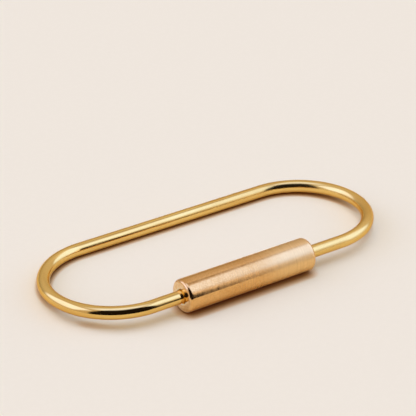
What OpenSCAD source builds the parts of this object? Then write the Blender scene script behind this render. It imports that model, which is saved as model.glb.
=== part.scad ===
// Key ring: a sprung loop of round brass wire, shut by a turned bronze sleeve.
// The wire is one piece. Two straight sides join two round bends, and its two
// tips face each other across a gap inside the sleeve, on the front side.
// Sliding the sleeve towards the far bend bares the gap, and keys go on there.
// The ring lies as it rests on a table: the barrel of the sleeve and the back
// of the loop both touch Z = 0, so the plane of the loop leans a little.
// X runs along the sleeve, from the near bend to the far one, and Y from the
// sleeve to the back of the loop. Lengths are in millimetres.

/* [Wire loop] */
// Diameter of the wire
wire_d = 2.5; // [1.6:0.1:4]
// Centre-line radius of both bends
bend_r = 13.3; // [9:0.1:20]
// Length of each straight side, from bend to bend
side_l = 42.3; // [40:0.1:80]
// Chamfer round each tip of the wire
tip_chamfer = 0.3; // [0.1:0.05:0.6]

/* [Sleeve] */
// Outside diameter of the sleeve
sleeve_d = 6.35; // [5.5:0.05:12]
// Length of the sleeve
sleeve_l = 28.4; // [22:0.1:31]
// Gap all round between the wire and the bore of the sleeve
bore_clearance = 0.05; // [0.02:0.01:0.1]
// Chamfer round each outer rim of the sleeve
rim_chamfer = 0.4; // [0.1:0.05:0.7]
// Countersink round each mouth of the bore
mouth_chamfer = 0.25; // [0.1:0.05:0.5]

/* [Gate] */
// Bare wire between the near bend and the shut sleeve
near_bare_l = 5.8; // [3:0.1:8]
// How far the near tip reaches into the shut sleeve
near_tip_hold = 3; // [2:0.1:5]
// How far the far tip still reaches into the sleeve when it is fully open
far_tip_hold = 1; // [0.6:0.1:3]
// Play between the sleeve and a bend at either end of its travel
stop_play = 0.1; // [0.05:0.05:0.5]

/* [Hidden] */

// Facets of a round form
round_fn = 96;

wire_r = wire_d / 2;
sleeve_r = sleeve_d / 2;
bore_r = wire_r + bore_clearance;
loop_w = 2 * bend_r;

// Places along the sleeve's axis, measured from where the near bend ends
sleeve_shut_u = near_bare_l;
sleeve_open_u = side_l - stop_play - sleeve_l;
near_tip_u = sleeve_shut_u + near_tip_hold;
far_tip_u = sleeve_open_u + far_tip_hold;

// The back of the loop comes down to the table that the sleeve lies on
lean = asin((sleeve_r - wire_r) / loop_w);

// The origin is under the middle of the whole ring
mid_y = (loop_w * cos(lean) + wire_r - sleeve_r) / 2;

echo(travel_to_near_bend = near_bare_l - stop_play);
echo(travel_to_far_bend = sleeve_open_u - sleeve_shut_u);
echo(open_gate = sleeve_open_u - near_tip_u);
echo(gap_between_tips = far_tip_u - near_tip_u);
echo(lean_degrees = lean);
echo(length_overall = side_l + loop_w + wire_d);
echo(width_overall = loop_w * cos(lean) + wire_r + sleeve_r);
echo(sleeve_axis_y = -mid_y);

// Takes what is drawn in the plane of the loop, with the near end of the
// front side at its origin, to where it is on the resting ring
module in_rest() {
    translate([-side_l / 2, -mid_y, sleeve_r])
        rotate([-lean, 0, 0])
            children();
}

// A straight of wire along X
module straight(length) {
    rotate([0, 90, 0])
        cylinder(r = wire_r, h = length, $fn = round_fn);
}

// A straight of wire that ends in a chamfered tip
module leg(length) {
    straight(length - tip_chamfer);
    translate([length - tip_chamfer, 0, 0])
        rotate([0, 90, 0])
            cylinder(r1 = wire_r, r2 = wire_r - tip_chamfer, h = tip_chamfer, $fn = round_fn);
}

// The half turn of wire past the far end of a side that starts at the origin
module far_bend() {
    translate([side_l, bend_r, 0])
        rotate([0, 0, -90])
            rotate_extrude(angle = 180, $fn = round_fn)
                translate([bend_r, 0])
                    circle(r = wire_r, $fn = round_fn);
}

// Turns what is drawn end for end about the middle of the side
module end_for_end() {
    translate([side_l, 0, 0])
        mirror([1, 0, 0])
            children();
}

module wire_loop() {
    color([0.84, 0.66, 0.30])
        in_rest() {
            leg(near_tip_u);
            end_for_end()
                leg(side_l - far_tip_u);
            far_bend();
            end_for_end()
                far_bend();
            translate([0, loop_w, 0])
                straight(side_l);
        }
}

module sleeve() {
    profile = [
        [bore_r + mouth_chamfer, 0],
        [sleeve_r - rim_chamfer, 0],
        [sleeve_r, rim_chamfer],
        [sleeve_r, sleeve_l - rim_chamfer],
        [sleeve_r - rim_chamfer, sleeve_l],
        [bore_r + mouth_chamfer, sleeve_l],
        [bore_r, sleeve_l - mouth_chamfer],
        [bore_r, mouth_chamfer]
    ];
    color([0.80, 0.58, 0.42])
        in_rest()
            translate([sleeve_shut_u, 0, 0])
                rotate([0, 90, 0])
                    rotate_extrude($fn = round_fn)
                        polygon(profile);
}

wire_loop();
sleeve();
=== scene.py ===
# %% [markdown]
# # A wire key ring with a sliding sleeve
# The ring is a length of round brass wire, bent round two pegs into a long loop whose ends stop short of each
# other, and a turned bronze sleeve that slides along the wire and covers the gap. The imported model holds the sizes
# and the motion. This lesson dresses its two solids: it sweeps the wire, turns the sleeve, gives each surface its
# own finish, and lights them as a plain table-top studio would.

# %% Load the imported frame
import math

import bpy
from mathutils import Matrix, Vector


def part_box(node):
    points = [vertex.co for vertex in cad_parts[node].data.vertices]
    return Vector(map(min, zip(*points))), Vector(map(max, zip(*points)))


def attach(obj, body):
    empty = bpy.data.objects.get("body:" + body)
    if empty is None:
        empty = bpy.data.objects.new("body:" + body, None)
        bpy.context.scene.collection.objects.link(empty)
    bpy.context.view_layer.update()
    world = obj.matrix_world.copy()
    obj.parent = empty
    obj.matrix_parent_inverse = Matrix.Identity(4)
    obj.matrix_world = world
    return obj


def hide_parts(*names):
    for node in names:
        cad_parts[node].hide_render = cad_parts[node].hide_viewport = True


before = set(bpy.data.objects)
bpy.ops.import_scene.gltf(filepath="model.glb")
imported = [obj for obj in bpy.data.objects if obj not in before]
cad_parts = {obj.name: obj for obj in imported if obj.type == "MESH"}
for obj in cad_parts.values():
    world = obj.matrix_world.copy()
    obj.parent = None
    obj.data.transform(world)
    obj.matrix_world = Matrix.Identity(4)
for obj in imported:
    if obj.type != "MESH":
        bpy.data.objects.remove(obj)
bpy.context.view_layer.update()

MM = 0.001

# %% [markdown]
# ## Two helpers for wiring nodes
# Every finish and both shapes are node trees. A helper that adds one node and fills its inputs keeps each tree
# short enough to read from top to bottom: a number goes onto the socket, and another node's output is linked to it.

# %% Node helpers
def add(tree, kind, label, inputs=None, **settings):
    """Adds a node, sets its settings, and fills its inputs by name or number."""
    made = tree.nodes.new(kind)
    made.label = label
    for key, value in settings.items():
        setattr(made, key, value)
    for key, value in (inputs or {}).items():
        if isinstance(value, bpy.types.NodeSocket):
            tree.links.new(value, made.inputs[key])
        else:
            made.inputs[key].default_value = value
    return made


def calc(tree, operation, first, second=0.0, label=""):
    """One step of arithmetic as a node. Gives its output."""
    step = add(tree, "ShaderNodeMath", label or operation.lower(), {0: first, 1: second}, operation=operation)
    return step.outputs[0]


# %% [markdown]
# ## Sizes
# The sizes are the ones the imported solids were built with, in millimetres as a maker would write them. The
# sleeve's own place is read from its solid, so the new sleeve lands exactly where the old one lies.

# %% Sizes of the wire and the sleeve
wire_diameter = 2.5 * MM
bend_radius = 13.3 * MM
side_length = 42.3 * MM
near_tip = -12.35 * MM
far_tip = -6.35 * MM
tip_chamfer = 0.3 * MM

sleeve_low, sleeve_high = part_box("sleeve")
sleeve_length = sleeve_high.x - sleeve_low.x
sleeve_radius = (sleeve_high.z - sleeve_low.z) / 2
sleeve_axis = (sleeve_low + sleeve_high) / 2
bore_play = 0.1 * MM
bore_radius = (wire_diameter + bore_play) / 2
rim_round = 0.683 * MM
mouth_chamfer = 0.25 * MM

# The loop lies on the table along its back, and leans up to the sleeve's axis along its front.
rise = sleeve_radius - wire_diameter / 2
lean = math.asin(rise / (2 * bend_radius))
loop_centre = Vector((
    0.0,
    sleeve_axis.y + bend_radius * math.cos(lean),
    (sleeve_radius + wire_diameter / 2) / 2,
))
print("sleeve", round(sleeve_length / MM, 2), "long,", round(2 * sleeve_radius / MM, 2), "thick")
print("the loop leans", round(math.degrees(lean), 2), "degrees about", [round(c / MM, 3) for c in loop_centre])

# %% [markdown]
# ## The finish of the wire
# The wire is drawn brass, polished until it mirrors its surroundings. What keeps it from looking like plastic is
# small: drawing leaves hair lines that run along the wire, handling leaves patches that are a little duller, the
# polish fades towards the far bend, and the metal deepens in colour where it has tarnished. A pattern on plain
# object coordinates would cut across the bends, so the sweep below stores where each point was while the wire was
# still straight, and the finish reads that.

# %% Helpers for finishes
def new_finish(name):
    """A metal with its shader ready. Gives the material, its tree and the shader."""
    material = bpy.data.materials.new(name)
    material.use_nodes = True
    tree = material.node_tree
    shader = tree.nodes["Principled BSDF"]
    shader.inputs["Metallic"].default_value = 1.0
    return material, tree, shader


def grain(tree, place, label, stretch, detail=3.0, roughness=0.55, turn=(0.0, 0.0, 0.0)):
    """Noise in cells of 1/stretch metres. Gives a value from 0 to 1."""
    mapped = add(tree, "ShaderNodeMapping", label + " scale",
                 {"Vector": place, "Scale": stretch, "Rotation": turn})
    made = add(tree, "ShaderNodeTexNoise", label,
               {"Vector": mapped.outputs[0], "Scale": 1.0, "Detail": detail, "Roughness": roughness})
    return made.outputs["Fac"]


def spread(tree, value, label, low, high, out_low, out_high):
    """Maps value from low..high onto out_low..out_high, smoothly and clamped."""
    made = add(tree, "ShaderNodeMapRange", label,
               {"Value": value, "From Min": low, "From Max": high, "To Min": out_low, "To Max": out_high},
               interpolation_type="SMOOTHSTEP")
    return made.outputs["Result"]


def two_tone(tree, share, label, first, second):
    """Mixes two colours by a share from 0 to 1. The first may be the output of another mix."""
    ground = first if isinstance(first, bpy.types.NodeSocket) else (*first, 1.0)
    made = add(tree, "ShaderNodeMix", label, {0: share, 6: ground, 7: (*second, 1.0)}, data_type="RGBA")
    return made.outputs[2]


def relief(tree, height, label, depth, under=None):
    """Bump of a real depth in metres, laid over another one if there is one."""
    made = add(tree, "ShaderNodeBump", label, {"Height": height, "Distance": depth, "Strength": 1.0})
    if under is not None:
        tree.links.new(under, made.inputs["Normal"])
    return made.outputs[0]


# %% Polished brass
brass_clean = (0.86, 0.570, 0.172)
brass_deep = (0.78, 0.480, 0.132)
brass_edge = (0.85, 0.66, 0.45)
fading_stretch = (60 * MM, 98 * MM)
faded_by = 0.10
waver_depth = 0.008 * MM
draw_line_depth = 0.0014 * MM


def polished_brass():
    material, tree, shader = new_finish("polished_brass")
    straight = add(tree, "ShaderNodeAttribute", "place on the straight wire", attribute_name="straight_place")
    place = straight.outputs["Vector"]
    hair_lines = grain(tree, place, "draw lines", (170.0, 9000.0, 9000.0), detail=4.0, roughness=0.7)
    patches = grain(tree, place, "handled patches", (150.0, 420.0, 420.0))
    tarnish = grain(tree, place, "tarnish", (60.0, 300.0, 300.0), detail=5.0, roughness=0.65)
    waver = grain(tree, place, "bending waver", (210.0, 330.0, 330.0), detail=1.0)

    deepened = spread(tree, tarnish, "where it deepened", 0.40, 0.68, 0.0, 1.0)
    colour = two_tone(tree, deepened, "brass", brass_clean, brass_deep)
    dulling = spread(tree, patches, "how dull", 0.35, 0.75, 0.06, 0.12)
    scratched = spread(tree, hair_lines, "how scratched", 0.42, 0.75, 0.0, 0.08)
    along = add(tree, "ShaderNodeSeparateXYZ", "place along the wire", {0: place}).outputs["X"]
    faded = spread(tree, along, "duller towards the far bend", *fading_stretch, 0.0, faded_by)
    finish = calc(tree, "ADD", calc(tree, "ADD", dulling, scratched), faded, "roughness")
    soft = relief(tree, waver, "waver", waver_depth)
    drawn = relief(tree, hair_lines, "draw line relief", draw_line_depth, soft)
    shader.inputs["Specular Tint"].default_value = (*brass_edge, 1.0)
    tree.links.new(colour, shader.inputs["Base Color"])
    tree.links.new(finish, shader.inputs["Roughness"])
    tree.links.new(drawn, shader.inputs["Normal"])
    return material


# %% [markdown]
# The cut ends of the wire stay inside the sleeve until it is slid open. They were sawn off square and broken with a
# file, so they are flat, duller than the wire, and carry straight file marks.

# %% Filed brass for the cut ends
file_mark_depth = 0.004 * MM


def filed_brass():
    material, tree, shader = new_finish("filed_brass")
    place = add(tree, "ShaderNodeTexCoord", "place").outputs["Object"]
    marks = grain(tree, place, "file marks", (900.0, 1200.0, 14000.0), detail=4.0, roughness=0.7)
    in_marks = spread(tree, marks, "in the marks", 0.35, 0.7, 0.0, 1.0)
    colour = two_tone(tree, in_marks, "brass", brass_clean, brass_deep)
    tree.links.new(colour, shader.inputs["Base Color"])
    tree.links.new(spread(tree, marks, "roughness", 0.3, 0.75, 0.24, 0.42), shader.inputs["Roughness"])
    tree.links.new(relief(tree, marks, "file mark relief", file_mark_depth), shader.inputs["Normal"])
    return material


# %% [markdown]
# ## The finishes of the sleeve
# The sleeve is a redder bronze. Its barrel was turned, then rubbed down in the lathe, so its fine lines run round
# it: light spreads along the barrel and stays sharp across it, which is why its reflections are long bands. Two
# reflections are mixed, a sharp one from the polish and a broad one from the haze of fine scratches. The haze
# grows towards the far end, where the metal also looks paler, and it comes and goes a little in fine bands round
# the barrel. A fine grain of specks breaks up both reflections. The two ends were faced, so they carry rings from
# the tool, and scuffs from lying on keys, with a bright lip round the mouth where the wire rubs. The bore is as
# the drill left it.

# %% Turned bronze barrel
bronze_clean = (0.805, 0.452, 0.158)
bronze_deep = (0.720, 0.375, 0.113)
bronze_pale = (0.900, 0.600, 0.255)
bronze_edge = (0.86, 0.71, 0.52)
paling_stretch = (-1.5 * MM, 7.0 * MM)
barrel_roughness = (0.075, 0.14)
barrel_spread = 0.35
barrel_quarter_turn = 0.25
barrel_haze = 0.45
haze_shares = (0.12, 0.40)
band_haze = (-0.04, 0.06)
speck_depth = 0.0022 * MM
turning_depth = 0.0006 * MM
band_depth = 0.004 * MM


def turned_bronze():
    material, tree, shader = new_finish("turned_bronze")
    place = add(tree, "ShaderNodeTexCoord", "place").outputs["Object"]
    turning = grain(tree, place, "turning lines", (11000.0, 220.0, 220.0), detail=4.0, roughness=0.7)
    bands = grain(tree, place, "rubbing bands", (1150.0, 110.0, 110.0), detail=2.0)
    speckle = grain(tree, place, "speckle", (2600.0, 3000.0, 3000.0), detail=4.0, roughness=0.75)
    patches = grain(tree, place, "handled patches", (130.0, 260.0, 260.0))
    along = add(tree, "ShaderNodeSeparateXYZ", "place along the sleeve", {0: place}).outputs["X"]
    whole_sleeve = (sleeve_low.x, sleeve_high.x)

    tone = calc(tree, "ADD", spread(tree, patches, "patches", 0.35, 0.7, 0.0, 0.7),
                spread(tree, speckle, "specks", 0.42, 0.62, -0.25, 0.6), "tone")
    worn = two_tone(tree, tone, "bronze", bronze_clean, bronze_deep)
    paling = spread(tree, along, "paler towards the far end", *paling_stretch, 0.0, 0.7)
    colour = two_tone(tree, paling, "paler bronze", worn, bronze_pale)
    wear = spread(tree, along, "sharper at the near end", *whole_sleeve, *barrel_roughness)
    rubbed = spread(tree, bands, "rubbed bands", 0.3, 0.7, -0.015, 0.03)
    pitted = relief(tree, speckle, "speck relief", speck_depth)
    lined = relief(tree, turning, "turning relief", turning_depth, pitted)
    ridged = relief(tree, bands, "band relief", band_depth, lined)
    around = add(tree, "ShaderNodeTangent", "round the barrel", direction_type="RADIAL", axis="X")
    shader.inputs["Specular Tint"].default_value = (*bronze_edge, 1.0)
    shader.inputs["Anisotropic"].default_value = barrel_spread
    shader.inputs["Anisotropic Rotation"].default_value = barrel_quarter_turn
    tree.links.new(colour, shader.inputs["Base Color"])
    tree.links.new(calc(tree, "ADD", wear, rubbed, "roughness"), shader.inputs["Roughness"])
    tree.links.new(around.outputs[0], shader.inputs["Tangent"])
    tree.links.new(ridged, shader.inputs["Normal"])

    veil = add(tree, "ShaderNodeBsdfMetallic", "haze of fine scratches",
               {"Base Color": colour, "Edge Tint": (*bronze_edge, 1.0),
                "Roughness": barrel_haze, "Normal": pitted})
    growing = spread(tree, along, "hazier towards the far end", *whole_sleeve, *haze_shares)
    flecked = spread(tree, bands, "hazier in the bands", 0.38, 0.62, *band_haze)
    haze_share = calc(tree, "ADD", growing, flecked, "share of the haze")
    both = add(tree, "ShaderNodeMixShader", "polish and haze",
               {0: haze_share, 1: shader.outputs[0], 2: veil.outputs[0]})
    tree.links.new(both.outputs[0], tree.nodes["Material Output"].inputs["Surface"])
    return material


# %% Rings that the facing tool cut
fine_rings_per_metre = 9000.0
broad_rings_per_metre = 2300.0


def tool_rings(tree, radius, label, per_metre, detail):
    """Noise that changes with the distance from the axis alone. Gives a value from 0 to 1."""
    return add(tree, "ShaderNodeTexNoise", label,
               {"W": calc(tree, "MULTIPLY", radius, per_metre), "Scale": 1.0, "Detail": detail},
               noise_dimensions="1D").outputs["Fac"]


# %% Faced ends and rims
bronze_bright = (0.90, 0.670, 0.390)
bronze_mouth = (0.90, 0.780, 0.500)
rim_margin = 0.1 * MM
bright_lip = 0.12 * MM
scuff_depth = 0.010 * MM
broad_ring_depth = 0.012 * MM
fine_ring_depth = 0.0015 * MM


def faced_bronze():
    material, tree, shader = new_finish("faced_bronze")
    place = add(tree, "ShaderNodeTexCoord", "place").outputs["Object"]
    centred = add(tree, "ShaderNodeMapping", "from the axis",
                  {"Vector": place, "Location": (0.0, -sleeve_axis.y, -sleeve_axis.z)})
    flat = add(tree, "ShaderNodeVectorMath", "across the axis",
               {0: centred.outputs[0], 1: (0.0, 1.0, 1.0)}, operation="MULTIPLY")
    out = add(tree, "ShaderNodeVectorMath", "distance from the axis", {0: flat.outputs[0]}, operation="LENGTH")
    radius = out.outputs["Value"]
    fine_rings = tool_rings(tree, radius, "fine tool rings", fine_rings_per_metre, 3.0)
    broad_rings = tool_rings(tree, radius, "broad tool rings", broad_rings_per_metre, 1.0)
    patches = grain(tree, place, "handled patches", (900.0, 900.0, 900.0))
    scuffs = grain(tree, place, "scuffs", (2600.0, 1500.0, 2600.0), roughness=0.65, turn=(0.6, 0.0, 0.0))

    tarnish = spread(tree, patches, "patches", 0.35, 0.7, 0.0, 1.0)
    tarnished = two_tone(tree, tarnish, "bronze", bronze_clean, bronze_deep)
    on_face = spread(tree, radius, "cut bright on the flat",
                     sleeve_radius - rim_round, sleeve_radius - rim_margin, 1.0, 0.0)
    unscuffed = spread(tree, scuffs, "between the scuffs", 0.38, 0.62, 0.95, 0.35)
    cut = calc(tree, "MULTIPLY", on_face, unscuffed, "how bright the cut is")
    faced = two_tone(tree, cut, "bright face", tarnished, bronze_bright)
    lip = bore_radius + mouth_chamfer
    in_mouth = spread(tree, radius, "worn bright by the wire", lip, lip + bright_lip, 1.0, 0.0)
    worn = two_tone(tree, in_mouth, "bright mouth", faced, bronze_mouth)
    dented = relief(tree, scuffs, "scuff relief", scuff_depth)
    broad = relief(tree, broad_rings, "broad ring relief", broad_ring_depth, dented)
    fine = relief(tree, fine_rings, "fine ring relief", fine_ring_depth, broad)
    tree.links.new(worn, shader.inputs["Base Color"])
    tree.links.new(spread(tree, fine_rings, "roughness", 0.25, 0.75, 0.07, 0.2), shader.inputs["Roughness"])
    tree.links.new(fine, shader.inputs["Normal"])
    return material


# %% Drilled bore
bore_bright = (0.78, 0.62, 0.36)
bore_dull = (0.50, 0.36, 0.20)
drill_depth = 0.006 * MM


def drilled_bronze():
    material, tree, shader = new_finish("drilled_bronze")
    place = add(tree, "ShaderNodeTexCoord", "place").outputs["Object"]
    spiral = grain(tree, place, "drill marks", (5200.0, 500.0, 500.0), turn=(0.0, 0.12, 0.05))
    in_marks = spread(tree, spiral, "in the marks", 0.35, 0.7, 0.0, 1.0)
    colour = two_tone(tree, in_marks, "dull bronze", bore_bright, bore_dull)
    tree.links.new(colour, shader.inputs["Base Color"])
    tree.links.new(spread(tree, spiral, "roughness", 0.3, 0.7, 0.28, 0.45), shader.inputs["Roughness"])
    tree.links.new(relief(tree, spiral, "drill relief", drill_depth), shader.inputs["Normal"])
    return material


# %% [markdown]
# ## Helpers for shape trees
# A shape tree has a named input for every size, as a drawing has a dimension for every length. The tree is run
# once, its result is kept as a plain mesh, and the modifier is taken off again, so nothing is left to go wrong
# later.

# %% Start a shape tree
SOCKET_KINDS = {float: "NodeSocketFloat", int: "NodeSocketInt", Vector: "NodeSocketVector",
                bpy.types.Material: "NodeSocketMaterial"}


def new_shape(name, values):
    """A Geometry Nodes tree with one named input for each value. Gives the tree, its inputs and its end."""
    tree = bpy.data.node_groups.new(name, "GeometryNodeTree")
    for label, value in values.items():
        tree.interface.new_socket(label, in_out="INPUT", socket_type=SOCKET_KINDS[type(value)])
    tree.interface.new_socket("Geometry", in_out="OUTPUT", socket_type="NodeSocketGeometry")
    start = tree.nodes.new("NodeGroupInput")
    end = tree.nodes.new("NodeGroupOutput")
    return tree, start.outputs, end.inputs[0]


# %% Run a shape tree once
def run_shape(name, tree, values):
    """Runs the tree with these values and gives an object that holds its result as a plain mesh."""
    piece = bpy.data.objects.new(name, bpy.data.meshes.new(name))
    bpy.context.scene.collection.objects.link(piece)
    modifier = piece.modifiers.new("shape", "NODES")
    modifier.node_group = tree
    for item in tree.interface.items_tree:
        if item.item_type == "SOCKET" and item.in_out == "INPUT":
            modifier[item.identifier] = values[item.name]
    worked_out = bpy.context.evaluated_depsgraph_get()
    result = bpy.data.meshes.new_from_object(piece.evaluated_get(worked_out), preserve_all_data_layers=True,
                                             depsgraph=worked_out)
    piece.modifiers.remove(modifier)
    piece.data = result
    result.name = name
    print(name, "has", len(result.vertices), "points,", len(result.polygons), "faces and the finishes",
          [m.name for m in result.materials])
    return piece


def tell_finishes(values):
    """Prints each finish among the values, with the size of its tree."""
    for label, value in values.items():
        if isinstance(value, bpy.types.Material):
            print(label, "is", value.name, "with", len(value.node_tree.nodes), "nodes")


# %% [markdown]
# ## The bent wire
# A maker cuts the wire to length and pulls it round two pegs. The tree does the same: it walks the length of the
# straight wire and asks how far it has come along each of five runs, which are the short front run, the near
# bend, the long back, the far bend and the front run into the sleeve. Each distance is clamped to its run, so a
# plain sum of the five gives the point on the path. A round profile is then swept along it.

# %% Sizes that go into the wire tree
wire_values = {
    "Side length": side_length,
    "Bend radius": bend_radius,
    "Wire radius": wire_diameter / 2,
    "Near tip": near_tip,
    "Far tip": far_tip,
    "Tip chamfer": tip_chamfer,
    "Lean": -lean,
    "Loop centre": loop_centre,
    "Rings": 420,
    "Facets": 64,
    "Wire finish": polished_brass(),
    "Tip finish": filed_brass(),
}
tell_finishes(wire_values)


# %% The path of the wire
def bent_path(tree, size):
    """The centre line as a curve, with the distance along the wire stored on it."""
    half_side = calc(tree, "MULTIPLY", size["Side length"], 0.5, "half the side")
    bend = calc(tree, "MULTIPLY", size["Bend radius"], math.pi, "length of a bend")
    runs = [
        calc(tree, "ADD", size["Near tip"], half_side, "near front run"),
        bend,
        size["Side length"],
        bend,
        calc(tree, "SUBTRACT", half_side, size["Far tip"], "far front run"),
    ]
    starts = [0.0]
    for run in runs:
        starts.append(calc(tree, "ADD", starts[-1], run, "start of the next run"))
    end_of_walk = calc(tree, "SUBTRACT", starts[-1], size["Tip chamfer"], "stop before the far chamfer")
    share = add(tree, "GeometryNodeSplineParameter", "share of the way").outputs["Factor"]
    walked = add(tree, "ShaderNodeMapRange", "distance walked",
                 {"Value": share, "To Min": size["Tip chamfer"], "To Max": end_of_walk}).outputs["Result"]
    done = [
        add(tree, "ShaderNodeClamp", "distance into the run",
            {"Value": calc(tree, "SUBTRACT", walked, start), "Min": 0.0, "Max": run}).outputs[0]
        for start, run in zip(starts, runs)
    ]
    near_angle = calc(tree, "DIVIDE", done[1], size["Bend radius"], "angle round the near bend")
    far_angle = calc(tree, "DIVIDE", done[3], size["Bend radius"], "angle round the far bend")
    near_reach = calc(tree, "MULTIPLY", calc(tree, "SINE", near_angle), size["Bend radius"],
                      "reach of the near bend")
    far_reach = calc(tree, "MULTIPLY", calc(tree, "SINE", far_angle), size["Bend radius"],
                     "reach of the far bend")
    x = size["Near tip"]
    for operation, part in (("SUBTRACT", done[0]), ("SUBTRACT", near_reach), ("ADD", done[2]),
                            ("ADD", far_reach), ("SUBTRACT", done[4])):
        x = calc(tree, operation, x, part, "along the loop")
    turns = calc(tree, "SUBTRACT", calc(tree, "COSINE", far_angle), calc(tree, "COSINE", near_angle))
    y = calc(tree, "MULTIPLY", calc(tree, "SUBTRACT", turns, 1.0), size["Bend radius"], "across the loop")

    line = add(tree, "GeometryNodeCurvePrimitiveLine", "straight wire", {"End": (1.0, 0.0, 0.0)})
    ringed = add(tree, "GeometryNodeResampleCurve", "rings", {"Curve": line.outputs[0], "Count": size["Rings"]})
    marked = add(tree, "GeometryNodeStoreNamedAttribute", "remember the distance",
                 {"Geometry": ringed.outputs[0], "Name": "along", "Value": walked}, data_type="FLOAT")
    spot = add(tree, "ShaderNodeCombineXYZ", "point on the path", {"X": x, "Y": y})
    bent = add(tree, "GeometryNodeSetPosition", "bend",
               {"Geometry": marked.outputs[0], "Position": spot.outputs[0]})
    level = add(tree, "GeometryNodeSetCurveNormal", "no twist", {"Curve": bent.outputs[0]}, mode="Z_UP")
    return level.outputs[0]


# %% The wire swept along its path
def swept_wire(tree, size):
    """A round section carried along the path. Each point keeps its place on the straight wire."""
    circle = add(tree, "GeometryNodeCurvePrimitiveCircle", "section",
                 {"Resolution": size["Facets"], "Radius": size["Wire radius"]})
    here = add(tree, "GeometryNodeInputPosition", "place in the section").outputs[0]
    section = add(tree, "GeometryNodeStoreNamedAttribute", "remember the section",
                  {"Geometry": circle.outputs[0], "Name": "section", "Value": here}, data_type="FLOAT_VECTOR")
    swept = add(tree, "GeometryNodeCurveToMesh", "sweep",
                {"Curve": bent_path(tree, size), "Profile Curve": section.outputs[0], "Fill Caps": True})

    along = add(tree, "GeometryNodeInputNamedAttribute", "distance", {"Name": "along"}, data_type="FLOAT")
    inside = add(tree, "GeometryNodeInputNamedAttribute", "section", {"Name": "section"},
                 data_type="FLOAT_VECTOR")
    parts = add(tree, "ShaderNodeSeparateXYZ", "section parts", {0: inside.outputs["Attribute"]})
    straight = add(tree, "ShaderNodeCombineXYZ", "place on the straight wire",
                   {"X": along.outputs["Attribute"], "Y": parts.outputs["X"], "Z": parts.outputs["Y"]})
    stored = add(tree, "GeometryNodeStoreNamedAttribute", "store the straight place",
                 {"Geometry": swept.outputs[0], "Name": "straight_place", "Value": straight.outputs[0]},
                 data_type="FLOAT_VECTOR")
    return stored.outputs[0]


# %% The dressed tips
side_face_corners = 4    # a face with more corners than this is a cut end


def filed_tips(tree, size, wire):
    """Pulls both cut ends out to the tips and files their edges. Gives the wire, and which faces this made."""
    corners = add(tree, "GeometryNodeInputMeshFaceNeighbors", "corners of a face").outputs["Vertex Count"]
    is_cap = add(tree, "FunctionNodeCompare", "is a cut end", {"A": corners, "B": side_face_corners},
                 data_type="INT", operation="GREATER_THAN").outputs[0]
    pulled = add(tree, "GeometryNodeExtrudeMesh", "reach the tip",
                 {"Mesh": wire, "Selection": is_cap, "Offset Scale": size["Tip chamfer"]})
    left = calc(tree, "SUBTRACT", size["Wire radius"], size["Tip chamfer"])
    filed = add(tree, "GeometryNodeScaleElements", "file the edge",
                {"Geometry": pulled.outputs["Mesh"], "Selection": pulled.outputs["Top"],
                 "Scale": calc(tree, "DIVIDE", left, size["Wire radius"], "what the file leaves")})
    is_tip = add(tree, "FunctionNodeBooleanMath", "tip or chamfer",
                 {0: pulled.outputs["Top"], 1: pulled.outputs["Side"]}, operation="OR").outputs[0]
    return filed.outputs[0], is_tip


# %% The wire laid down and finished
crisp_angle = math.radians(30)


def bent_wire(values):
    """The whole tree: the wire swept, filed at its tips, leaned on the table and given its two finishes."""
    tree, size, end = new_shape("bent_wire", values)
    filed, is_tip = filed_tips(tree, size, swept_wire(tree, size))
    turn = add(tree, "FunctionNodeEulerToRotation", "lean",
               {0: add(tree, "ShaderNodeCombineXYZ", "about X", {"X": size["Lean"]}).outputs[0]})
    leaned = add(tree, "GeometryNodeTransform", "lay down",
                 {"Geometry": filed, "Translation": size["Loop centre"], "Rotation": turn.outputs[0]})
    angle = add(tree, "GeometryNodeInputMeshEdgeAngle", "angle at an edge").outputs["Unsigned Angle"]
    is_sharp = add(tree, "FunctionNodeCompare", "is a crisp edge", {"A": angle, "B": crisp_angle},
                   data_type="FLOAT", operation="GREATER_THAN").outputs[0]
    smooth = add(tree, "GeometryNodeSetShadeSmooth", "smooth faces",
                 {"Geometry": leaned.outputs[0], "Shade Smooth": True}, domain="FACE")
    crisp = add(tree, "GeometryNodeSetShadeSmooth", "crisp edges",
                {"Geometry": smooth.outputs[0], "Selection": is_sharp, "Shade Smooth": False}, domain="EDGE")
    real = add(tree, "GeometryNodeRealizeInstances", "make real", {"Geometry": crisp.outputs[0]})
    brass = add(tree, "GeometryNodeSetMaterial", "wire finish",
                {"Geometry": real.outputs[0], "Material": size["Wire finish"]})
    tips = add(tree, "GeometryNodeSetMaterial", "tip finish",
               {"Geometry": brass.outputs[0], "Selection": is_tip, "Material": size["Tip finish"]})
    tree.links.new(tips.outputs[0], end)
    return tree


# %% Make the wire
brass_wire = run_shape("brass_wire", bent_wire(wire_values), wire_values)
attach(brass_wire, "ring")
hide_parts("wire_loop")

# %% [markdown]
# ## The turned sleeve
# A turned part is its half section carried once round its axis. The tree draws that section from six corners: the
# bore, the little countersink at each mouth and the faced ends. The rims are rolled over to a full round, which
# is what draws the thin black crescent at the near end, and every other corner is broken with a tiny round,
# because no real edge is a perfect corner. Long stretches are then divided, so that the barrel can carry the
# faint ripple of the tool.

# %% Sizes that go into the sleeve tree
sleeve_values = {
    "Length": sleeve_length,
    "Outer radius": sleeve_radius,
    "Bore radius": bore_radius,
    "Rim round": rim_round,
    "Mouth chamfer": mouth_chamfer,
    "Edge break": 0.09 * MM,
    "Ripple": 0.003 * MM,
    "Ripple length": 0.9 * MM,
    "Longest step": 0.28 * MM,
    "Facets": 112,
    "Near end": Vector((sleeve_low.x, sleeve_axis.y, sleeve_axis.z)),
    "Barrel finish": turned_bronze(),
    "End finish": faced_bronze(),
    "Bore finish": drilled_bronze(),
}
tell_finishes(sleeve_values)


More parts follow.
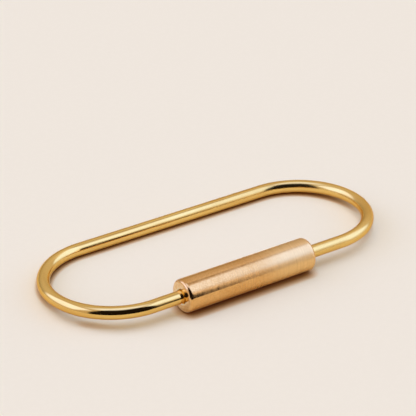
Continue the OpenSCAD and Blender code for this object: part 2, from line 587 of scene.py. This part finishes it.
# %% The six corners of the half section
def six_corners(tree, size, wall):
    """The corners as a closed curve: X is the distance out from the bore, and -Y the distance along."""
    mouth_end = calc(tree, "SUBTRACT", size["Length"], size["Mouth chamfer"])
    corners = [
        (0.0, size["Mouth chamfer"]),
        (size["Mouth chamfer"], 0.0),
        (wall, 0.0),
        (wall, size["Length"]),
        (size["Mouth chamfer"], size["Length"]),
        (0.0, mouth_end),
    ]
    number = add(tree, "GeometryNodeInputIndex", "number of the corner").outputs[0]
    choice = add(tree, "GeometryNodeIndexSwitch", "six corners", data_type="VECTOR")
    while len(choice.index_switch_items) < len(corners):
        choice.index_switch_items.new()
    tree.links.new(number, choice.inputs["Index"])
    for place, (out, along) in enumerate(corners):
        back = calc(tree, "MULTIPLY", along, -1.0) if isinstance(along, bpy.types.NodeSocket) else -along
        corner = add(tree, "ShaderNodeCombineXYZ", "corner", {"X": out, "Y": back})
        tree.links.new(corner.outputs[0], choice.inputs[place + 1])
    dots = add(tree, "GeometryNodePoints", "corners", {"Count": len(corners), "Position": choice.outputs[0]})
    joined = add(tree, "GeometryNodePointsToCurves", "join up", {"Points": dots.outputs[0]})
    closed = add(tree, "GeometryNodeSetSplineCyclic", "close", {"Geometry": joined.outputs[0], "Cyclic": True})
    return closed.outputs[0]


# %% The half section with its corners rounded
rim_from = 0.9    # a share of the wall: a corner further out than this is a rim
steps_in_a_round = 12


def half_section(tree, size):
    """The closed section: full rounds at the rims, tiny ones elsewhere, and its long stretches divided."""
    wall = calc(tree, "SUBTRACT", size["Outer radius"], size["Bore radius"], "wall")
    sharp = six_corners(tree, size, wall)
    out_there = add(tree, "ShaderNodeSeparateXYZ", "distance out",
                    {0: add(tree, "GeometryNodeInputPosition", "corner's place").outputs[0]}).outputs["X"]
    is_rim = calc(tree, "GREATER_THAN", out_there, calc(tree, "MULTIPLY", wall, rim_from), "is a rim")
    rounding = add(tree, "ShaderNodeMix", "round of this corner",
                   {0: is_rim, 2: size["Edge break"], 3: size["Rim round"]}).outputs[0]
    broken = add(tree, "GeometryNodeFilletCurve", "round the corners",
                 {"Curve": sharp, "Count": steps_in_a_round, "Radius": rounding, "Limit Radius": True},
                 mode="POLY")

    here = add(tree, "GeometryNodeInputPosition", "this point").outputs[0]
    following = add(tree, "GeometryNodeOffsetPointInCurve", "next point", {"Offset": 1}).outputs["Point Index"]
    there = add(tree, "GeometryNodeFieldAtIndex", "place of the next point",
                {"Value": here, "Index": following}, data_type="FLOAT_VECTOR").outputs[0]
    step = add(tree, "ShaderNodeVectorMath", "length of the step", {0: here, 1: there}, operation="DISTANCE")
    cuts = calc(tree, "FLOOR", calc(tree, "DIVIDE", step.outputs["Value"], size["Longest step"]), 0.0, "cuts")
    divided = add(tree, "GeometryNodeSubdivideCurve", "divide", {"Curve": broken.outputs[0], "Cuts": cuts})
    return divided.outputs[0]


# %% The section carried round its axis
barrel_from = 0.999    # a share of the outer radius: a point further out than this is on the barrel


def turned_shape(tree, size):
    """The section turned round the bore, the tool's ripple cut in the barrel, and all of it laid on the wire."""
    circle = add(tree, "GeometryNodeCurvePrimitiveCircle", "once round the bore",
                 {"Resolution": size["Facets"], "Radius": size["Bore radius"]})
    level = add(tree, "GeometryNodeSetCurveNormal", "section stands outwards", {"Curve": circle.outputs[0]},
                mode="Z_UP")
    turned = add(tree, "GeometryNodeCurveToMesh", "turn",
                 {"Curve": level.outputs[0], "Profile Curve": half_section(tree, size)})

    here = add(tree, "GeometryNodeInputPosition", "place").outputs[0]
    outward = add(tree, "ShaderNodeVectorMath", "from the axis", {0: here, 1: (1.0, 1.0, 0.0)},
                  operation="MULTIPLY")
    distance = add(tree, "ShaderNodeVectorMath", "radius", {0: outward.outputs[0]}, operation="LENGTH")
    on_barrel = calc(tree, "GREATER_THAN", distance.outputs["Value"],
                     calc(tree, "MULTIPLY", size["Outer radius"], barrel_from), "on the barrel")
    height = add(tree, "ShaderNodeSeparateXYZ", "height", {0: here}).outputs["Z"]
    chatter = add(tree, "ShaderNodeTexNoise", "tool ripple",
                  {"W": calc(tree, "DIVIDE", height, size["Ripple length"]), "Scale": 1.0, "Detail": 1.0},
                  noise_dimensions="1D").outputs["Fac"]
    sink = calc(tree, "MULTIPLY", calc(tree, "MULTIPLY", chatter, size["Ripple"]), -1.0, "cut a little deeper")
    aim = add(tree, "ShaderNodeVectorMath", "outwards", {0: outward.outputs[0]}, operation="NORMALIZE")
    push = add(tree, "ShaderNodeVectorMath", "inward push", {0: aim.outputs[0]}, operation="SCALE")
    tree.links.new(sink, push.inputs["Scale"])
    rippled = add(tree, "GeometryNodeSetPosition", "ripple the barrel",
                  {"Geometry": turned.outputs[0], "Selection": on_barrel, "Offset": push.outputs[0]})
    laid = add(tree, "GeometryNodeTransform", "lay on the wire's line",
               {"Geometry": rippled.outputs[0], "Translation": size["Near end"],
                "Rotation": (0.0, math.radians(90), 0.0)})
    return laid.outputs[0]


# %% The turned sleeve and its finishes
end_from = 0.3       # a face that looks along the axis by more than this is an end, or a rim or mouth beside it
bore_up_to = 1.02    # a share of the bore's radius: a face no further out than this is the bore


def turned_sleeve(values):
    """The whole tree: the sleeve turned, smoothed, and given its three finishes by where each face is."""
    tree, size, end = new_shape("turned_sleeve", values)
    smooth = add(tree, "GeometryNodeSetShadeSmooth", "smooth faces",
                 {"Geometry": turned_shape(tree, size), "Shade Smooth": True}, domain="FACE")
    real = add(tree, "GeometryNodeRealizeInstances", "make real", {"Geometry": smooth.outputs[0]})
    facing = add(tree, "ShaderNodeSeparateXYZ", "facing",
                 {0: add(tree, "GeometryNodeInputNormal", "normal").outputs[0]}).outputs["X"]
    is_end = calc(tree, "GREATER_THAN", calc(tree, "ABSOLUTE", facing), end_from, "is an end or a chamfer")
    here = add(tree, "GeometryNodeInputPosition", "place").outputs[0]
    from_end = add(tree, "ShaderNodeVectorMath", "from the near end", {0: here, 1: size["Near end"]},
                   operation="SUBTRACT")
    across = add(tree, "ShaderNodeVectorMath", "across the axis", {0: from_end.outputs[0], 1: (0.0, 1.0, 1.0)},
                 operation="MULTIPLY")
    wide = add(tree, "ShaderNodeVectorMath", "radius now", {0: across.outputs[0]}, operation="LENGTH")
    is_bore = calc(tree, "LESS_THAN", wide.outputs["Value"],
                   calc(tree, "MULTIPLY", size["Bore radius"], bore_up_to), "is the bore")
    barrel = add(tree, "GeometryNodeSetMaterial", "barrel finish",
                 {"Geometry": real.outputs[0], "Material": size["Barrel finish"]})
    bored = add(tree, "GeometryNodeSetMaterial", "bore finish",
                {"Geometry": barrel.outputs[0], "Selection": is_bore, "Material": size["Bore finish"]})
    faced = add(tree, "GeometryNodeSetMaterial", "end finish",
                {"Geometry": bored.outputs[0], "Selection": is_end, "Material": size["End finish"]})
    tree.links.new(faced.outputs[0], end)
    return tree


# %% Make the sleeve
bronze_sleeve = run_shape("bronze_sleeve", turned_sleeve(sleeve_values), sleeve_values)
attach(bronze_sleeve, "slider")
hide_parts("sleeve")

# %% [markdown]
# ## The table
# A plain pale table, slightly warm. It reaches far to the back and the sides, but its front edge is close, just
# below the picture: the thin dark line along the sleeve's lower side is the dark room, mirrored over that edge.
# The table gives the metal its lower reflections and takes the ring's soft shadow. Its finish is a fine even
# grain, like painted board. Where metal lies close over it, a deep brown shade is painted into the board's colour.
# An ambient occlusion node measures how closed in each spot is, and a short colour ramp turns that into the
# painted shade. The painted shade reaches further from the metal along the ring's front side, where the sleeve
# lies, than elsewhere. Only the camera sees the painted shade: the metal mirrors the plain board.

# %% Board under the ring
table_colour = (0.92, 0.885, 0.565)
table_shade = (0.90, 0.865, 0.545)
# Where and how deeply shade is painted into the board's colour next to the metal: a longer reach along the sleeve's
# line, and the browns it darkens to as a spot closes in.
sleeve_strip = (4.5 * MM, 9.0 * MM)
painted_shade_reach = (1.9 * MM, 1.2 * MM)
contact_samples = 24
painted_contact_shade = (
    (0.0, (0.12, 0.01, 0.0)),
    (0.38, (0.42, 0.25, 0.13)),
    (0.68, (0.76, 0.60, 0.46)),
    (0.84, (0.91, 0.81, 0.71)),
    (0.98, (1.0, 1.0, 1.0)),
)


def painted_board():
    material = bpy.data.materials.new("painted_board")
    material.use_nodes = True
    tree = material.node_tree
    shader = tree.nodes["Principled BSDF"]
    shader.inputs["Roughness"].default_value = 0.9
    shader.inputs["Specular IOR Level"].default_value = 0.0
    place = add(tree, "ShaderNodeTexCoord", "place").outputs["Object"]
    fine = grain(tree, place, "board grain", (900.0, 900.0, 900.0), detail=2.0)
    board = two_tone(tree, fine, "board", table_colour, table_shade)
    across = add(tree, "ShaderNodeSeparateXYZ", "place on the board", {0: place}).outputs["Y"]
    past_sleeve = calc(tree, "SUBTRACT", across, sleeve_axis.y, "past the sleeve's line")
    from_sleeve = calc(tree, "ABSOLUTE", past_sleeve, label="off the sleeve's line")
    reach = spread(tree, from_sleeve, "reach of the painted shade", *sleeve_strip, *painted_shade_reach)
    # Painted shade: the ramp below turns how closed in each spot is into a brown that multiplies the board's colour.
    openness = add(tree, "ShaderNodeAmbientOcclusion", "how open the spot is", {"Distance": reach},
                   samples=contact_samples).outputs["AO"]
    painted_shade_ramp = add(tree, "ShaderNodeValToRGB", "painted shade by the metal", {0: openness})
    stops = painted_shade_ramp.color_ramp.elements
    while len(stops) < len(painted_contact_shade):
        stops.new(1.0)
    for stop, (opened, tint) in zip(stops, painted_contact_shade):
        stop.position = opened
        stop.color = (*tint, 1.0)
    # Only camera rays get this painted shade; the metal mirrors the plain board.
    seen = add(tree, "ShaderNodeLightPath", "who is looking").outputs["Is Camera Ray"]
    board_with_painted_shade = add(tree, "ShaderNodeMix", "paint shade into the board", {0: seen, 6: board, 7: painted_shade_ramp.outputs[0]},
                 data_type="RGBA", blend_type="MULTIPLY")
    tree.links.new(board_with_painted_shade.outputs[2], shader.inputs["Base Color"])
    return material


# %% Pale table
# The camera looks along this bearing, off the Y axis, and the table stands square to it.
camera_yaw = 0.609855
table_reach = 3.0
table_front = 56 * MM


def make_table():
    back = Vector((math.sin(camera_yaw), math.cos(camera_yaw), 0.0))
    side = Vector((math.cos(camera_yaw), -math.sin(camera_yaw), 0.0))
    corners = [side * across + back * along for across, along in
               ((table_reach, -table_front), (table_reach, table_reach), (-table_reach, table_reach),
                (-table_reach, -table_front))]
    mesh = bpy.data.meshes.new("table")
    mesh.from_pydata(corners, [], [(0, 1, 2, 3)])
    mesh.materials.append(painted_board())
    table = bpy.data.objects.new("table", mesh)
    bpy.context.scene.collection.objects.link(table)
    print("the table starts", round(table_front / MM), "mm in front of the middle of the ring")


make_table()

# %% [markdown]
# ## The light
# Polished metal shows the room. In the photograph the ring mirrors two large soft panels, a bright ceiling and
# the dark room behind the camera, and the black stripe along the near bend is that dark room. A narrow bright
# strip between the right panel and the dark room lights the lower edge of the highlight on the sleeve. The light
# is fixed in space: each region is a patch of the world given by its bearing and height, with soft edges, so the
# metal looks right from every side. The dull table is lit apart from that, by a soft cool lamp overhead and a
# wide warm fill from the left, which only dull surfaces see: their shadows are soft and brown, and no extra
# bright spot lands on the metal. Seen directly, the world is plain and pale.

# %% Directions and soft edges
def direction(bearing, height):
    """The unit vector towards a bearing, turned from X towards Y, and a height above the horizon, in degrees."""
    turn, lift = math.radians(bearing), math.radians(height)
    return Vector((math.cos(lift) * math.cos(turn), math.cos(lift) * math.sin(turn), math.sin(lift)))


def edge(tree, value, label, place, softness, rising=True):
    """A soft edge at a place: 0 before it and 1 after it, or the other way round."""
    ends = (0.0, 1.0) if rising else (1.0, 0.0)
    return spread(tree, value, label, place - softness, place + softness, *ends)


# %% Panels of light round the table
least_depth = 0.05


def softbox(tree, aim, label, bearing, height, left, right, low, high):
    """A flat rectangle that faces the ring. Each side is (distance from the middle, softness) on a card one
    unit away. Gives 1 inside it and 0 outside."""
    ahead = direction(bearing, height)
    across = direction(bearing + 90, 0)
    upward = ahead.cross(across)
    parts = []
    for name, axis in (("ahead", ahead), ("across", across), ("upward", upward)):
        step = add(tree, "ShaderNodeVectorMath", label + " " + name, {0: aim, 1: axis}, operation="DOT_PRODUCT")
        parts.append(step.outputs["Value"])
    depth = calc(tree, "MAXIMUM", parts[0], least_depth, label + " depth")
    x = calc(tree, "DIVIDE", parts[1], depth, label + " across")
    y = calc(tree, "DIVIDE", parts[2], depth, label + " up")
    share = calc(tree, "MULTIPLY", edge(tree, x, label + " left", -left[0], left[1]),
                 edge(tree, x, label + " right", right[0], right[1], rising=False))
    share = calc(tree, "MULTIPLY", share, edge(tree, y, label + " low", -low[0], low[1]))
    share = calc(tree, "MULTIPLY", share, edge(tree, y, label + " high", high[0], high[1], rising=False))
    return calc(tree, "MULTIPLY", share, calc(tree, "GREATER_THAN", parts[0], 0.0), label)


# %% Stretches of wall
def sector(tree, bearing, height, label, middle, half_width, side_softness, low, high):
    """A stretch of the room between two heights, in degrees. Each height is (place, softness)."""
    off = calc(tree, "SUBTRACT", bearing, math.radians(middle))
    turned = add(tree, "ShaderNodeMath", label + " bearing", {0: off, 1: math.pi, 2: -math.pi}, operation="WRAP")
    sideways = calc(tree, "ABSOLUTE", turned.outputs[0])
    share = edge(tree, sideways, label + " sides", math.radians(half_width), math.radians(side_softness),
                 rising=False)
    share = calc(tree, "MULTIPLY", share,
                 edge(tree, height, label + " low", math.radians(low[0]), math.radians(low[1])))
    return calc(tree, "MULTIPLY", share,
                edge(tree, height, label + " high", math.radians(high[0]), math.radians(high[1]), rising=False))


# %% Round lamps for dull surfaces
def glow_round(tree, aim, label, colour, strength, bearing, height, soft_edge):
    """A round lamp with a soft edge, given as two cosines of the angle from its middle. Gives its light."""
    towards = add(tree, "ShaderNodeVectorMath", "towards the " + label, {0: aim, 1: direction(bearing, height)},
                  operation="DOT_PRODUCT").outputs["Value"]
    level = spread(tree, towards, "round the " + label, *soft_edge, 0.0, strength)
    return add(tree, "ShaderNodeBackground", label, {"Color": (*colour, 1.0), "Strength": level}).outputs[0]


# %% Lay the regions into the walls
wall_colour = (1.0, 0.93, 0.95)
wall_strength = 0.70


def lit_walls(tree, aim, regions):
    """Plain walls with each region laid over the ones before it. Gives the light that the metals mirror."""
    parts = add(tree, "ShaderNodeSeparateXYZ", "direction parts", {0: aim})
    bearing = calc(tree, "ARCTAN2", parts.outputs["Y"], parts.outputs["X"], "bearing")
    height = calc(tree, "ARCSINE", parts.outputs["Z"], label="height")
    light = add(tree, "ShaderNodeBackground", "walls",
                {"Color": (*wall_colour, 1.0), "Strength": wall_strength}).outputs[0]
    for label, (kind, colour, strength, shape) in regions.items():
        if kind == "softbox":
            share = softbox(tree, aim, label, **shape)
        else:
            share = sector(tree, bearing, height, label, **shape)
        glow = add(tree, "ShaderNodeBackground", label, {"Color": (*colour, 1.0), "Strength": strength})
        light = add(tree, "ShaderNodeMixShader", "lay in the " + label,
                    {0: share, 1: light, 2: glow.outputs[0]}).outputs[0]
    print("regions laid into the walls:", ", ".join(regions))
    return light


# %% The world round the table
soft_lamp = dict(colour=(0.41, 0.53, 1.0), strength=3.46, bearing=55, height=85, soft_edge=(0.86, 0.985))
warm_fill = dict(colour=(1.0, 0.70, 0.54), strength=1.09, bearing=175, height=58, soft_edge=(0.1, 0.9))
lamp_share = 0.97
backdrop_colour = (0.863, 0.791, 0.723)


def light_room(regions):
    """Lit walls for the metals, lamp and fill for dull surfaces, and a plain pale backdrop for the camera."""
    world = bpy.data.worlds.new("studio")
    bpy.context.scene.world = world
    world.use_nodes = True
    tree = world.node_tree
    tree.nodes.clear()
    aim = add(tree, "ShaderNodeTexCoord", "direction").outputs["Generated"]
    ray = add(tree, "ShaderNodeLightPath", "who is looking")
    table_light = add(tree, "ShaderNodeAddShader", "lamp and fill",
                      {0: glow_round(tree, aim, "soft lamp", **soft_lamp),
                       1: glow_round(tree, aim, "warm fill", **warm_fill)})
    share = calc(tree, "MULTIPLY", ray.outputs["Is Diffuse Ray"], lamp_share, "share of lamp and fill")
    light = add(tree, "ShaderNodeMixShader", "light for the table",
                {0: share, 1: lit_walls(tree, aim, regions), 2: table_light.outputs[0]})
    seen = add(tree, "ShaderNodeBackground", "pale backdrop",
               {"Color": (*backdrop_colour, 1.0), "Strength": 1.0})
    both = add(tree, "ShaderNodeMixShader", "backdrop for the camera",
               {0: ray.outputs["Is Camera Ray"], 1: light.outputs[0], 2: seen.outputs[0]})
    out = add(tree, "ShaderNodeOutputWorld", "world")
    tree.links.new(both.outputs[0], out.inputs["Surface"])


# %% The room
light_room({
    "back wall": ("sector", (1.0, 0.96, 1.0), 0.48,
                  dict(middle=88, half_width=38, side_softness=12, low=(-10, 2), high=(18, 14))),
    "upper wall": ("sector", (0.93, 0.90, 1.0), 1.05,
                   dict(middle=26, half_width=14, side_softness=14, low=(38, 8), high=(54, 6))),
    "seam": ("sector", (1.0, 0.93, 0.95), 0.50,
             dict(middle=18, half_width=24, side_softness=8, low=(54.5, 1.5), high=(60.5, 1.5))),
    "ceiling": ("sector", (0.38, 0.48, 1.0), 2.95,
                dict(middle=0, half_width=200, side_softness=10, low=(69, 9), high=(200, 10))),
    "panel stand": ("sector", (1.0, 0.95, 1.0), 1.06,
                    dict(middle=-56.5, half_width=5, side_softness=1.5, low=(-3, 4), high=(32, 8))),
    "right panel": ("softbox", (0.39, 0.515, 1.0), 3.12,
                    dict(bearing=-26, height=36, left=(0.46, 0.18), right=(0.56, 0.12), low=(0.45, 0.34),
                         high=(0.53, 0.06))),
    "left panel": ("softbox", (0.40, 0.49, 1.0), 3.3,
                   dict(bearing=150, height=34, left=(0.60, 0.12), right=(0.54, 0.12), low=(0.38, 0.20),
                        high=(0.43, 0.08))),
    "dark room": ("sector", (1.0, 0.7, 0.5), 0.012,
                  dict(middle=-110.3, half_width=50.6, side_softness=1.5, low=(-95, 2), high=(75, 14))),
})

# %% [markdown]
# ## The camera
# The camera stands where the photograph was taken from: about 36 centimetres away, above the near side, looking
# down at thirty degrees through a long lens. Its place and its three angles come from fitting the ring's sizes to
# the photograph's edges. The first of these angles is the one that the table stands square to.

# %% Camera
camera_place = Vector((-174.299, -247.480, 187.238)) * MM
camera_pitch = 0.527465
camera_roll = 0.028949
sensor_width = 36.0
picture_side = 416
focal_length_in_pixels = 1866.844
nearest_seen = 0.01
furthest_seen = 20.0


def photo_camera():
    forward = Vector((math.sin(camera_yaw) * math.cos(camera_pitch),
                      math.cos(camera_yaw) * math.cos(camera_pitch), -math.sin(camera_pitch)))
    level_right = forward.cross(Vector((0, 0, 1))).normalized()
    level_up = level_right.cross(forward)
    right = math.cos(camera_roll) * level_right + math.sin(camera_roll) * level_up
    up = -math.sin(camera_roll) * level_right + math.cos(camera_roll) * level_up
    data = bpy.data.cameras.new("camera")
    data.sensor_width = sensor_width
    data.lens = focal_length_in_pixels * sensor_width / picture_side
    data.clip_start = nearest_seen
    data.clip_end = furthest_seen
    camera = bpy.data.objects.new("camera", data)
    bpy.context.scene.collection.objects.link(camera)
    camera.matrix_world = Matrix.Translation(camera_place) @ Matrix((right, up, -forward)).transposed().to_4x4()
    bpy.context.scene.camera = camera
    return camera


camera = photo_camera()
print("lens", round(camera.data.lens, 2), "mm")

# %% [markdown]
# ## The view
# The picture is shown without any film curve, so the colours are the ones written above.

# %% Finish
bpy.context.scene.view_settings.view_transform = "Standard"
